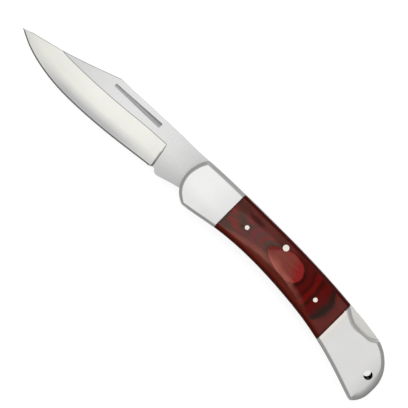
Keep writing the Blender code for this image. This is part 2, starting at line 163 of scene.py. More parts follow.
mesh = bmesh.new()
bmesh.ops.create_circle(mesh, cap_ends=True, segments=round_sides, radius=floor_radius)
bmesh.ops.translate(mesh, verts=mesh.verts, vec=(0.0, 0.0, low_corner.z - floor_drop))
floor_mesh = bpy.data.meshes.new("floor")
mesh.to_mesh(floor_mesh)
mesh.free()
floor = bpy.data.objects.new("floor", floor_mesh)
bpy.context.collection.objects.link(floor)
pale = bpy.data.materials.new("pale floor")
pale.use_nodes = True
tree = pale.node_tree
tree.nodes.clear()
bounce = add(tree, "ShaderNodeBsdfDiffuse", {"Color": floor_bounce})
shade = add(tree, "ShaderNodeBsdfDiffuse", {"Color": floor_shade})
glow = add(tree, "ShaderNodeEmission", {"Color": white, "Strength": floor_glow})
lifted = add(tree, "ShaderNodeAddShader", {0: shade.outputs[0], 1: glow.outputs[0]})
either = add(tree, "ShaderNodeMixShader", {0: seen_directly(tree), 1: bounce.outputs[0], 2: lifted.outputs[0]})
add(tree, "ShaderNodeOutputMaterial", {"Surface": either.outputs[0]})
floor.data.materials.append(pale)

mesh = bmesh.new()
bmesh.ops.create_cone(
    mesh, cap_ends=False, segments=round_sides, radius1=wall_radius, radius2=wall_top_radius, depth=wall_height
)
bmesh.ops.translate(mesh, verts=mesh.verts, vec=(0.0, 0.0, wall_foot + wall_height / 2))
wall_mesh = bpy.data.meshes.new("studio_wall")
mesh.to_mesh(wall_mesh)
mesh.free()
wall = bpy.data.objects.new("studio_wall", wall_mesh)
bpy.context.collection.objects.link(wall)
grey = bpy.data.materials.new("studio wall grey")
grey.use_nodes = True
tree = grey.node_tree
tree.nodes.clear()
place = add(tree, "ShaderNodeSeparateXYZ", {0: add(tree, "ShaderNodeTexCoord").outputs["Object"]})
rise = add(tree, "ShaderNodeMath", {0: place.outputs["Z"], 1: wall_height}, operation="DIVIDE")
glow = add(tree, "ShaderNodeEmission", {"Color": ramp(tree, rise.outputs[0], wall_greys), "Strength": 1.0})
add(tree, "ShaderNodeOutputMaterial", {"Surface": glow.outputs[0]})
wall.data.materials.append(grey)
wall.visible_camera = False
wall.visible_diffuse = False
wall.visible_shadow = False
wall.visible_transmission = False

lamp = bpy.data.objects.new("overhead_lamp", bpy.data.lights.new("overhead_lamp", "AREA"))
lamp.data.shape = "SQUARE"
lamp.data.size = lamp_width
lamp.data.energy = lamp_watts
lamp.location = lamp_place
lamp.rotation_euler = (-lamp_place).to_track_quat("-Z", "Y").to_euler()
lamp.visible_glossy = False
bpy.context.collection.objects.link(lamp)


# The liners are the two steel plates of the frame, punched to the handle's outline, and the back spacer is the block
# that holds them apart at the butt. Their edges are ground flush with the lock bar's back and eased by hand.

eased_edge = 0.00010
lanyard_middle = Vector((0.0958201, -0.0019698, 0.0))
lanyard_radius = 0.0019
# Black, as painted shade, for the walls of drilled holes.
hole_shade_colour = (0.004, 0.004, 0.004)
liner_colour = (0.66, 0.66, 0.65)
spacer_colour = (0.62, 0.62, 0.61)
grain_span = (0.3, 0.7)
smudge_span = (0.35, 0.75)
scratch_span = (0.66, 0.72)
cloud_contrast = 0.02
grain_dull = 0.03
scratch_dark = 0.10
scratch_dull = 0.15
grain_relief = 0.000002
weld = 0.000005
same_level = math.radians(0.3)
square_turn = math.radians(60)
level_normal = 0.9


def new_material(name):
    """A material, its node tree and its Principled shader."""
    made = bpy.data.materials.new(name)
    made.use_nodes = True
    return made, made.node_tree, made.node_tree.nodes["Principled BSDF"]


def maths(tree, operation, one, two=0.0, clamp=False):
    """The result of an operation on one or two values."""
    return add(tree, "ShaderNodeMath", {0: one, 1: two}, operation=operation, use_clamp=clamp).outputs[0]


def ranged(tree, value, low, high, to_low=0.0, to_high=1.0, kind="LINEAR"):
    """A value moved from one range to another and held inside it."""
    return add(tree, "ShaderNodeMapRange", {
        0: value, 1: low, 2: high, 3: to_low, 4: to_high,
    }, interpolation_type=kind).outputs[0]


def mixed(tree, factor, one, two, blend="MIX"):
    """Two colours mixed by a factor."""
    made = add(tree, "ShaderNodeMix", data_type="RGBA", blend_type=blend)
    for key, value in ((0, factor), (6, one), (7, two)):
        if isinstance(value, bpy.types.NodeSocket):
            tree.links.new(value, made.inputs[key])
        else:
            made.inputs[key].default_value = (*value, 1.0) if isinstance(value, tuple) else value
    return made.outputs[2]


def object_place(tree):
    """A point's place on the piece's own coordinates."""
    return add(tree, "ShaderNodeTexCoord").outputs["Object"]


def place_along(tree, axis):
    """How far along X, Y or Z a point is."""
    return add(tree, "ShaderNodeSeparateXYZ", {0: object_place(tree)}).outputs[axis]


def grey_of(tree, value):
    """A value as a grey."""
    return add(tree, "ShaderNodeCombineColor", {0: value, 1: value, 2: value}).outputs[0]


def noise(tree, scales, detail=3.0, seed=0.0, distortion=0.0):
    """Noise on the piece's own coordinates, with this many grains a metre along X, Y and Z."""
    mapped = add(tree, "ShaderNodeMapping", {
        "Vector": object_place(tree), "Location": (seed, seed * 0.7, 0.0), "Scale": scales,
    })
    return add(tree, "ShaderNodeTexNoise", {
        "Vector": mapped.outputs[0], "Scale": 1.0, "Detail": detail, "Distortion": distortion,
    }).outputs[0]


def steel(name, colour, roughness, grain=(90.0, 3200.0, 3200.0), contrast=0.03, smudge=0.05, scratches=0.3):
    """Ground steel: fine lines along its grain, a few cross scratches from use, and places dulled by handling."""
    made, tree, shader = new_material(name)
    lines = noise(tree, grain, 5.0)
    clouds = noise(tree, (110.0, 150.0, 150.0), 3.0, 4.0)
    marks = noise(tree, (5200.0, 260.0, 900.0), 2.0, 9.0, 0.4)
    scratch = ranged(tree, marks, *scratch_span, 0.0, scratches)
    tone = maths(
        tree, "ADD", ranged(tree, lines, *grain_span, 1 - contrast, 1 + contrast),
        ranged(tree, clouds, *grain_span, -cloud_contrast, cloud_contrast),
    )
    tone = maths(tree, "SUBTRACT", tone, maths(tree, "MULTIPLY", scratch, scratch_dark))
    dull = maths(
        tree, "ADD", ranged(tree, clouds, *smudge_span, 0.0, smudge),
        ranged(tree, lines, *grain_span, -grain_dull, grain_dull),
    )
    dull = maths(tree, "ADD", dull, maths(tree, "MULTIPLY", scratch, scratch_dull))
    relief = maths(tree, "SUBTRACT", lines, scratch)
    bump = add(tree, "ShaderNodeBump", {"Strength": 0.5, "Distance": grain_relief, "Height": relief})
    shader.inputs["Metallic"].default_value = 1.0
    tree.links.new(mixed(tree, 1.0, colour, grey_of(tree, tone), "MULTIPLY"), shader.inputs["Base Color"])
    tree.links.new(maths(tree, "ADD", roughness, dull, True), shader.inputs["Roughness"])
    tree.links.new(bump.outputs[0], shader.inputs["Normal"])
    return made


def solid_copy(node):
    """A mesh of a CAD node with its loose triangles joined and its flat faces made whole."""
    mesh = bmesh.new()
    mesh.from_mesh(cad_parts[node].data)
    bmesh.ops.remove_doubles(mesh, verts=mesh.verts, dist=weld)
    inner = [e for e in mesh.edges if len(e.link_faces) == 2 and e.calc_face_angle(0.0) < same_level]
    bmesh.ops.dissolve_limit(mesh, angle_limit=same_level, verts=[], edges=inner)
    return mesh


def soften(mesh, edges, width, segments, held=True):
    """Rounds edges over a width, or over less where short neighbours hold it back."""
    return bmesh.ops.bevel(
        mesh, geom=edges, offset=width, offset_type="OFFSET", segments=segments, profile=0.5,
        affect="EDGES", material=-1, clamp_overlap=held,
    )["faces"]


def square_edges(mesh):
    """The edges where a flat face, level with the knife, meets a wall."""
    return [
        e for e in mesh.edges
        if len(e.link_faces) == 2 and e.calc_face_angle(0.0) > square_turn
        and sorted(abs(f.normal.z) > level_normal for f in e.link_faces) == [False, True]
    ]


def piece_of(name, mesh, materials, body, replaced, sharp=28.0):
    """A finished piece of a mesh that stands for CAD nodes and rides on a body, if it's given one."""
    data = bpy.data.meshes.new(name)
    mesh.to_mesh(data)
    mesh.free()
    data.shade_smooth()
    data.set_sharp_from_angle(angle=math.radians(sharp))
    for material in materials:
        data.materials.append(material)
    made = bpy.data.objects.new(name, data)
    bpy.context.collection.objects.link(made)
    if body:
        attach(made, body)
    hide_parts(*replaced)
    return made


def paint_hole_shade(mesh, middle, radius, index):
    """Gives the wall of a round hole along Z a material of its own, black as painted shade."""
    for face in mesh.faces:
        away = face.calc_center_median() - middle
        if math.hypot(away.x, away.y) < radius * 1.03 and abs(face.normal.z) < level_normal:
            face.material_index = index


liner_steel = steel("liner steel", liner_colour, 0.30)
spacer_steel = steel("back spacer steel", spacer_colour, 0.28)
# The walls of drilled holes are painted black: painted shade for the deep shadow inside them.
hole_painted_shade = steel("drilled hole painted shade", hole_shade_colour, 0.75)
shader = hole_painted_shade.node_tree.nodes["Principled BSDF"]
shader.inputs["Metallic"].default_value = 0.0
shader.inputs["Specular IOR Level"].default_value = 0.0
for name in ("liner_left", "liner_right", "back_spacer"):
    mesh = solid_copy(name)
    soften(mesh, square_edges(mesh), eased_edge, 2)
    paint_hole_shade(mesh, lanyard_middle, lanyard_radius + eased_edge, 1)
    finish, slot = (spacer_steel, "bar_steel") if name == "back_spacer" else (liner_steel, "liner_steel")
    piece_of("frame_" + name, mesh, [finish, hole_painted_shade], "handle", [name])


# The leaf spring is a tempered strip under the lock bar. Its root is held in the spacer's slot.

spring_colour = (0.42, 0.43, 0.45)

spring_steel = steel("tempered spring steel", spring_colour, 0.38, smudge=0.10)
mesh = solid_copy("lock_spring")
soften(mesh, square_edges(mesh), eased_edge, 2)
leaf_spring = piece_of("leaf_spring", mesh, [spring_steel], None, ["lock_spring"])
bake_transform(leaf_spring)


# The blade's pivot and the spacer's two pins are steel rods that end under the bolsters, which are ground over them.

rod_colour = (0.60, 0.60, 0.60)

rod_steel = steel("ground rod steel", rod_colour, 0.30, grain=(2600.0, 2600.0, 120.0))
for name in ("blade_pivot_pin", "spacer_pin_upper", "spacer_pin_lower"):
    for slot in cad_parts[name].material_slots:
        slot.material = rod_steel


# The blade is one piece of stainless steel with a clip point. Its flats are satin and its hollow grind is polished,
# with a fine line where the two meet, a honed edge, and a nail nick milled in the left face.

blade_low, blade_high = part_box("blade")
blade_middle = (blade_low.z + blade_high.z) / 2
blade_half = (blade_high.z - blade_low.z) / 2
blade_hair = 0.000004
shoulder_half = 0.00025
hollow_depth = blade_half - shoulder_half
hollow_power = 2 / 3
honed_end = -0.0263
clip_corner = -0.0580
point_start = blade_low.x + 0.0012
bare_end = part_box("front_bolster_left")[0].x + 0.004
plunge_start = -0.0290
plunge_corner_y = 0.0042
plunge_top_y = plunge_corner_y + 0.0012
nick_low = (-0.0590, 0.0075)
nick_high = (-0.0330, 0.0115)
nick_depth = 0.0008
grind_line_width = 0.00018
clip_edge_width = 0.00021
spine_edge_width = 0.00011
point_edge_width = 0.00018
rim_turn = math.radians(50)
wall_normal = 0.3
honed_normal = math.cos(math.radians(10))
joined_turn = math.radians(15)
joined_skew = math.radians(60)
plunge_level, plunge_facing = 0.90, -0.17
flat_zone, hollow_zone, honed_zone, nick_zone, line_zone, plunge_zone = range(6)
flat_colour = (0.80, 0.80, 0.795)
flat_ends = (-0.075, -0.012)
flat_shade = (-0.0050, 0.0050, 0.76)
flat_stops = ((0.0, 0.83), (0.15, 0.90), (0.30, 0.965), (0.45, 0.98), (0.70, 0.95), (0.84, 0.89), (1.0, 0.76))
hollow_colour = (0.885, 0.88, 0.82)
hollow_ends = (-0.1016, -0.030)
hollow_stops = ((0.0, 0.84), (0.20, 0.91), (0.55, 1.0), (0.85, 1.0), (1.0, 0.96))
# Painted shade on the hollow: darker and bluer towards the edge, strongest along the middle of the blade, weaker
# towards the tip and the plunge.
hollow_painted_shade = (
    (0.00, (0.53, 0.53, 0.57)), (0.10, (0.55, 0.55, 0.59)), (0.167, (0.62, 0.62, 0.66)), (0.233, (0.72, 0.72, 0.76)),
    (0.30, (0.79, 0.79, 0.82)), (0.367, 0.88), (0.433, 0.935), (0.50, 0.955), (0.70, 0.985), (1.00, 1.00),
)
shade_reach_ends = (-0.095, -0.030)
hollow_shade_reach = (
    (0.00, 0.25), (0.10, 0.32), (0.226, 0.68), (0.35, 0.97), (0.48, 1.0), (0.72, 1.0), (0.85, 0.84), (0.97, 0.57),
)
# The grind line, the clip's and point's edges and the steep hollow faces are painted dark, as shade.
line_shade_colour = (0.30, 0.30, 0.29)
# The plunge is painted darker, as shade, more so towards the edge.
plunge_shade_colour = (0.56, 0.56, 0.55)
plunge_shade = (-0.0040, -0.0002, 0.62)
# The honed edge is painted dark, as shade.
honed_shade_colour = (0.17, 0.17, 0.17)
nick_colour = (0.97, 0.97, 0.97)
nick_ends = (-0.058, -0.036)
nick_depth_shades = (0.57, 0.88)
nick_stops = ((0.0, 1.0), (0.18, 1.0), (0.46, 0.855), (0.73, 0.725), (1.0, 0.65))


def tinted(material, shade):
    """Multiplies a material's colour by a shade."""
    tree = material.node_tree
    socket = tree.nodes["Principled BSDF"].inputs["Base Color"]
    tree.links.new(mixed(tree, 1.0, socket.links[0].from_socket, shade, "MULTIPLY"), socket)


def shaded_along_x(material, ends, stops):
    """Shades a steel along X between two ends, by a row of tones."""
    tree = material.node_tree
    tinted(material, ramp(tree, ranged(tree, place_along(tree, "X"), *ends), stops))


def darker_below(material, low, high, tone):
    """Shades a steel towards the edge, down to a tone at the lower of two Ys."""
    tree = material.node_tree
    tinted(material, grey_of(tree, ranged(tree, place_along(tree, "Y"), low, high, tone, 1.0, "SMOOTHSTEP")))


def in_nick(place):
    """Whether a point lies within the nail nick's length and height."""
    return all(low < part < high for low, part, high in zip(nick_low, place, nick_high))


def is_flat(face):
    """Whether a face lies on one of the blade's two flat sides."""
    return all(abs(abs(v.co.z - blade_middle) - blade_half) < blade_hair for v in face.verts)


def zones(edge):
    """The zones on the two sides of an edge, in order."""
    return sorted(f.material_index for f in edge.link_faces)


def mark_zones(mesh):
    """Marks each face of the blade's mesh with the zone whose finish it gets."""
    ground = []
    for face in mesh.faces:
        middle = face.calc_center_median()
        slope = abs(face.normal.z)
        if is_flat(face) or slope < wall_normal and not in_nick(middle):
            face.material_index = flat_zone
        elif in_nick(middle) and middle.z > blade_middle:
            face.material_index = nick_zone
        elif abs(middle.z - blade_middle) < shoulder_half + blade_hair and slope < honed_normal:
            face.material_index = honed_zone if middle.x < honed_end else flat_zone
        else:
            face.material_index = hollow_zone
            ground.append(face)
    bmesh.ops.join_triangles(
        mesh, faces=ground, angle_face_threshold=joined_turn, angle_shape_threshold=joined_skew
    )
    for face in mesh.faces:
        steep = abs(face.normal.z) < plunge_level or face.normal.x < plunge_facing
        if face.material_index == hollow_zone and steep:
            face.material_index = line_zone


def blade_piece():
    """The blade's mesh with its zones marked, and its lines and its back bevelled."""
    mesh = bmesh.new()
    mesh.from_mesh(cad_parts["blade"].data)
    bmesh.ops.remove_doubles(mesh, verts=mesh.verts, dist=weld)
    inner = [e for e in mesh.edges if len(e.link_faces) == 2 and all(is_flat(f) for f in e.link_faces)]
    bmesh.ops.dissolve_limit(mesh, angle_limit=same_level, verts=[], edges=inner)
    mark_zones(mesh)

    line = [
        e for e in mesh.edges
        if zones(e) == [flat_zone, hollow_zone] and all(abs(f.normal.z) > level_normal for f in e.link_faces)
        or zones(e) == [flat_zone, line_zone] and min(v.co.y for v in e.verts) > plunge_corner_y
    ]
    for face in soften(mesh, line, grind_line_width, 1):
        face.material_index = line_zone
    for on_clip, width, zone in ((True, clip_edge_width, line_zone), (False, spine_edge_width, flat_zone)):
        back = [
            e for e in mesh.edges
            if zones(e) in ([flat_zone, flat_zone], [flat_zone, hollow_zone]) and e.calc_face_angle(0.0) > rim_turn
            and e.verts[0].co.y > 0 and max(v.co.x for v in e.verts) < bare_end
            and (max(v.co.x for v in e.verts) < clip_corner) == on_clip
            and all(abs(v.co.z - blade_middle) > blade_half - blade_hair for v in e.verts)
        ]
        for face in soften(mesh, back, width, 1, False):
            face.material_index = zone
    point = [
        e for e in mesh.edges
        if zones(e) == [flat_zone, hollow_zone] and e.calc_face_angle(0.0) > rim_turn and e.verts[0].co.y > 0
        and min(v.co.x for v in e.verts) > point_start and max(v.co.x for v in e.verts) < clip_corner
    ]
    for face in soften(mesh, point, point_edge_width, 1, False):
        face.material_index = line_zone
    bmesh.ops.remove_doubles(mesh, verts=mesh.verts, dist=weld)

    for face in mesh.faces:
        middle = face.calc_center_median()
        if face.material_index == line_zone and middle.x > plunge_start and middle.y < plunge_top_y:
            face.material_index = plunge_zone
    rise = mesh.verts.layers.float.new("rise")
    for vert in mesh.verts:
        share = (abs(vert.co.z - blade_middle) - shoulder_half) / hollow_depth
        vert[rise] = max(share, 0.0) ** hollow_power
    return mesh


flat_steel = steel("blade flat steel", flat_colour, 0.24, grain=(28.0, 4200.0, 4200.0), contrast=0.012, smudge=0.04)
shaded_along_x(flat_steel, flat_ends, flat_stops)
darker_below(flat_steel, *flat_shade)
hollow_steel = steel(
    "blade hollow steel", hollow_colour, 0.14, grain=(3000.0, 110.0, 900.0), contrast=0.012, smudge=0.03,
    scratches=0.1,
)
shaded_along_x(hollow_steel, hollow_ends, hollow_stops)
# The hollow's colour takes its painted shade, falling towards the edge.
tree = hollow_steel.node_tree
rise = add(tree, "ShaderNodeAttribute", attribute_name="rise").outputs["Fac"]
shade_reach = ramp(tree, ranged(tree, place_along(tree, "X"), *shade_reach_ends), hollow_shade_reach)
tinted(hollow_steel, mixed(tree, shade_reach, (1.0, 1.0, 1.0), ramp(tree, rise, hollow_painted_shade)))
honed_shade_steel = steel("honed edge painted shade", honed_shade_colour, 0.35, grain=(4000.0, 300.0, 900.0))
nick_steel = steel("nail nick steel", nick_colour, 0.36)
# The nail nick darkens along X towards the handle, and with depth as painted shade in the recess.
shaded_along_x(nick_steel, nick_ends, nick_stops)
tree = nick_steel.node_tree
depth_shade = ranged(tree, place_along(tree, "Z"), blade_high.z - nick_depth, blade_high.z, *nick_depth_shades)
tinted(nick_steel, grey_of(tree, depth_shade))
line_shade_steel = steel("grind line painted shade", line_shade_colour, 0.34)
plunge_shade_steel = steel("plunge painted shade", plunge_shade_colour, 0.30)
darker_below(plunge_shade_steel, *plunge_shade)
piece_of(
    "clip_point_blade", blade_piece(), [flat_steel, hollow_steel, honed_shade_steel, nick_steel, line_shade_steel, plunge_shade_steel],
    "blade", ["blade"], 8.0,
)


# The lock bar is the steel bar along the back that turns on its pin. Its tooth drops behind the tang, and its rear
# end shows in the thumb notch, where it is pressed to free the blade.

bar_colour = (0.645, 0.635, 0.605)

bar_steel = steel("lock bar steel", bar_colour, 0.26)
mesh = solid_copy("lock_bar")
soften(mesh, square_edges(mesh), eased_edge, 2)
piece_of("back_lock_bar", mesh, [bar_steel], "lock_bar", ["lock_bar"])


# The bolsters are solid nickel steel caps at both ends of both sides. They are filed flush with the liners and
# polished. Their outer edges are chamfered, and rolled over softly round the butt and in the thumb notch.

bar_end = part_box("lock_bar")[1].x
level_hair = 0.00002
joint_hair = 0.0001
hole_sides = 48
rim_width = 0.00150
rim_drop = 0.00098
rim_steps = 8
firm_rim = (
    (0.0, 1.0), (0.30, 0.70), (0.60, 0.40), (0.84, 0.16), (0.91, 0.098), (0.98, 0.052), (1.05, 0.021), (1.12, 0.005),
    (1.20, 0.0),
)
soft_wide, soft_drop = 2.90, 1.80
soft_rim = tuple(
    (soft_wide * step / rim_steps, soft_drop * (1 - step / rim_steps) ** 2) for step in range(rim_steps + 1)
)
front_taper = 0.13
butt_turns = (0.3, 0.8)
butt_soft_ys = (0.0060, -0.0020, -0.0115, -0.0146)
notch_shares = ((0.0, 0.95, 0.45), (0.42, 0.95, 0.40), (0.60, 0.56, 0.10), (1.0, 0.50, 0.0))
rim_fade = 0.00045
corner_round = 0.0008
front_corner_lean, rear_corner_lean = 0.3, -0.1
deep_shade_depths = (0.0008, 0.0016)
rim_foot = 0.0025
front_colour = (0.875, 0.875, 0.87)
front_ends = (-0.013, 0.010)
front_shade = (-0.0030, 0.0035, 0.90)
front_stops = ((0.0, 0.99), (0.5, 0.985), (0.8, 0.92), (1.0, 0.88))
rear_colour = (0.775, 0.77, 0.755)
rear_ends = (0.071, 0.100)
# Along the rear bolster: a warm pale line painted at the wood joint as a highlight, and darker towards the butt.
rear_stops_with_highlight = (
    (0.0, (1.04, 0.98, 0.92)), (0.035, (1.01, 0.96, 0.90)), (0.060, (0.93, 0.91, 0.885)),
    (0.11, (0.91, 0.905, 0.895)), (0.16, 0.91), (0.74, 0.91), (0.85, 0.85), (0.91, 0.79), (1.0, 0.75),
)
# The rims' tones are painted shade: the chamfers are greyed, darker further down, and lighter in the thumb notch.
rim_shade_tone = 0.66
deep_shade_tone = 0.52
notch_shade_tone = 0.76


def outline_face(mesh, node, level):
    """The outline of a CAD node's flat face at a level, as one face of a mesh."""
    source = bmesh.new()
    source.from_mesh(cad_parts[node].data)
    bmesh.ops.remove_doubles(source, verts=source.verts, dist=weld)
    flat = {f for f in source.faces if all(abs(v.co.z - level) < level_hair for v in f.verts)}
    rim = [e for e in source.edges if sum(f in flat for f in e.link_faces) == 1]
    steps = {}
    for edge in rim:
        for vert in edge.verts:
            steps.setdefault(vert, []).append(edge.other_vert(vert))
    start = min(steps, key=lambda v: v.co.x)
    loop = [start, steps[start][0]]
    while loop[-1] is not start:
        one, two = steps[loop[-1]]
        loop.append(two if one is loop[-2] else one)
    face = mesh.faces.new([mesh.verts.new(v.co) for v in loop[:-1]])
    source.free()
    return face


def cover_block(node, side):
    """A mesh of a cover with square edges, and the level of its outer face."""
    low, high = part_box(node)
    inner, outer = (low.z, high.z) if side > 0 else (high.z, low.z)
    mesh = bmesh.new()
    face = outline_face(mesh, node, inner)
    raised = bmesh.ops.extrude_face_region(mesh, geom=[face], use_keep_orig=True)
    moved = [v for v in raised["geom"] if isinstance(v, bmesh.types.BMVert)]
    bmesh.ops.translate(mesh, verts=moved, vec=(0.0, 0.0, outer - inner))
    bmesh.ops.recalc_face_normals(mesh, faces=mesh.faces)
    return mesh, outer


def edges_at(mesh, level, wanted):
    """The edges that lie at a level and whose middle is wanted."""
    return [
        e for e in mesh.edges
        if all(abs(v.co.z - level) < level_hair for v in e.verts) and wanted((e.verts[0].co + e.verts[1].co) / 2)
    ]


def smooth_share(low, high, place):
    """A smooth step from 0 at one place to 1 at another, either way round."""
    share = min(max((place - low) / (high - low), 0.0), 1.0)
    return share * share * (3 - 2 * share)


def between(one, two, share):
    """A point on the way from one row of numbers to another."""
    return [start + (end - start) * share for start, end in zip(one, two)]


def row_at(rows, place):
    """The numbers of a table at a place, where each row starts with its own place."""
    for low, high in zip(rows, rows[1:]):
        if place <= high[0]:
            return between(low[1:], high[1:], max(place - low[0], 0.0) / (high[0] - low[0]))
    return rows[-1][1:]


def drilled(mesh, middle, radius):
    """A mesh with a round hole right through it along Z."""
    tool = bmesh.new()
    bmesh.ops.create_cone(tool, cap_ends=True, segments=hole_sides, radius1=radius, radius2=radius, depth=0.1)
    bmesh.ops.translate(tool, verts=tool.verts, vec=middle)
    bmesh.ops.recalc_face_normals(tool, faces=tool.faces)
    objects = []
    for part in (mesh, tool):
        data = bpy.data.meshes.new("drilling")
        part.to_mesh(data)
        part.free()
        made = bpy.data.objects.new("drilling", data)
        bpy.context.collection.objects.link(made)
        objects.append(made)
    boolean = objects[0].modifiers.new("hole", "BOOLEAN")
    boolean.operation = "DIFFERENCE"
    boolean.solver = "EXACT"
    boolean.object = objects[1]
    shape = objects[0].evaluated_get(bpy.context.evaluated_depsgraph_get())
    result = bmesh.new()
    result.from_mesh(shape.to_mesh())
    shape.to_mesh_clear()
    for made in objects:
        data = made.data
        bpy.data.objects.remove(made, do_unlink=True)
        bpy.data.meshes.remove(data)
    return result


def bolster_steel(name, colour, roughness, ends, stops, low=None):
    """Polished steel, shaded along its length, and duller with painted shade where the rim attribute is 1."""
    made = steel(name, colour, roughness, contrast=0.006, smudge=0.05, scratches=0.15)
    shaded_along_x(made, ends, stops)
    if low:
        darker_below(made, *low)
    tree = made.node_tree
    shader = tree.nodes["Principled BSDF"]
    rim = add(tree, "ShaderNodeAttribute", attribute_name="rim").outputs["Fac"]
    grey = add(tree, "ShaderNodeAttribute", attribute_name="rim_shade_tone").outputs["Fac"]
    blue = maths(tree, "MULTIPLY", grey, 0.98)
    rim_shade_colour = add(tree, "ShaderNodeCombineColor", {0: grey, 1: grey, 2: blue}).outputs[0]
    tone, dull = (shader.inputs[key].links[0].from_socket for key in ("Base Color", "Roughness"))
    tree.links.new(mixed(tree, rim, tone, rim_shade_colour), shader.inputs["Base Color"])
    tree.links.new(maths(tree, "ADD", dull, maths(tree, "MULTIPLY", rim, 0.07)), shader.inputs["Roughness"])
    return made


front_steel = bolster_steel("front bolster steel", front_colour, 0.13, front_ends, front_stops, front_shade)
rear_steel = bolster_steel("rear bolster steel", rear_colour, 0.15, rear_ends, rear_stops_with_highlight)


def rim_lines(mesh, outer):
    """The lines of points up a rounded rim, each from the wall to the outer face."""
    def depth(vert):
        return abs(vert.co.z - outer)

    lines = []
    for vert in mesh.verts:
        if abs(depth(vert) - rim_width) < level_hair / 2:
            line = [vert]
            while depth(line[-1]) > weld:
                line.append(min((e.other_vert(line[-1]) for e in line[-1].link_edges), key=depth))
            lines.append(line)
    return lines


def bolster(name, side, at_front):
    """A bolster with its rim chamfered firmly, or rolled over softly round the butt and in the thumb notch."""
    mesh, outer = cover_block(name, side)
    low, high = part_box(name)
    joint = high.x if at_front else low.x
    middle_y = (low.y + high.y) / 2
    rim = edges_at(mesh, outer, lambda p: abs(p.x - joint) > joint_hair)
    soften(mesh, rim, rim_width, rim_steps)
    lines = rim_lines(mesh, outer)
    for line in lines:
        foot = line[0].co.copy()
        inward = (line[-1].co - foot) * Vector((1, 1, 0))
        way = inward.normalized()
        wide, soft = (1.0 - front_taper * way.y if at_front else 1.0), 0.0
        if not at_front and foot.y > middle_y and foot.x < bar_end:
            wide, soft = row_at(notch_shares, (foot.x - joint) / (bar_end - joint))
        elif not at_front:
            soft = smooth_share(*butt_turns, -way.x) * smooth_share(*butt_soft_ys[:2], foot.y)
            soft *= smooth_share(*butt_soft_ys[:1:-1], foot.y)
        for vert, firm_place, soft_place in zip(line, firm_rim, soft_rim):
            along, drop = between(firm_place, soft_place, soft)
            vert.co = foot + inward * along * wide
            vert.co.z = outer - side * rim_drop * drop * min(wide, 1.0)
    lean = front_corner_lean if at_front else rear_corner_lean
    corner = min(lines, key=lambda line: line[0].co.y + line[0].co.x * lean)
    mitre = {e for v in corner[:4] for e in v.link_edges if e.other_vert(v) in corner[:5]}
    wall = [e for e in corner[0].link_edges if abs(e.verts[0].co.z - e.verts[1].co.z) > rim_width]
    soften(mesh, [*mitre, *wall], corner_round, 4)
    if not at_front:
        mesh = drilled(mesh, lanyard_middle, lanyard_radius)
        paint_hole_shade(mesh, lanyard_middle, lanyard_radius, 1)
    # The rim's tone is painted shade, darker deeper down the chamfer and lighter in the thumb notch.
    rim_layer = mesh.verts.layers.float.new("rim")
    shade_layer = mesh.verts.layers.float.new("rim_shade_tone")
    for vert in mesh.verts:
        depth = abs(vert.co.z - outer)
        in_notch = not at_front and vert.co.y > middle_y and vert.co.x < bar_end
        depth_shade = smooth_share(*deep_shade_depths, depth) if depth < rim_foot else 0.0
        vert[rim_layer] = smooth_share(0.0, rim_fade, depth)
        vert[shade_layer] = notch_shade_tone if in_notch else rim_shade_tone + (deep_shade_tone - rim_shade_tone) * depth_shade
    finish = front_steel if at_front else rear_steel
    return piece_of("bolster_" + name, mesh, [finish, hole_painted_shade], "handle", [name])


for side_name, side in (("left", 1), ("right", -1)):
    bolster("front_bolster_" + side_name, side, True)
    bolster("rear_bolster_" + side_name, side, False)


# The scales are slabs of dyed laminated wood, shaped on a belt and lacquered. Grinding through the flat layers draws
# the rings round the heart, and the rounded rims cut down to the dark layers, painted darker still as shade.

back_width = 0.0017
belly_width = 0.0026
wood_drop = 0.0019
wood_steps = 9
pin_fit = 0.00002
joint_shade_width = 0.0009
left_seed, right_seed = 0.0, 31.0
knife_middle = (low_corner.z + high_corner.z) / 2
half_thickness = (high_corner.z - low_corner.z) / 2
heart_place = Vector((0.0406, 0.0062, 0.0))
heart_half = (0.0092, 0.0049)
dark_lens = Vector((0.0203, 0.0106, 0.0))
dark_lens_half = (0.0040, 0.0010)
lens_colour = (0.030, 0.006, 0.004)
heart_slant = 0.25
wedge_slant = 1.75
crest_ys = (0.0075, 0.0095)
crest_xs = (0.062, 0.067)
band_middle, band_bow = 0.0370, 1.55
band_heights = (0.0088, 0.0102)
band_xs = (0.036, 0.054)
backing_xs = (0.034, 0.042)
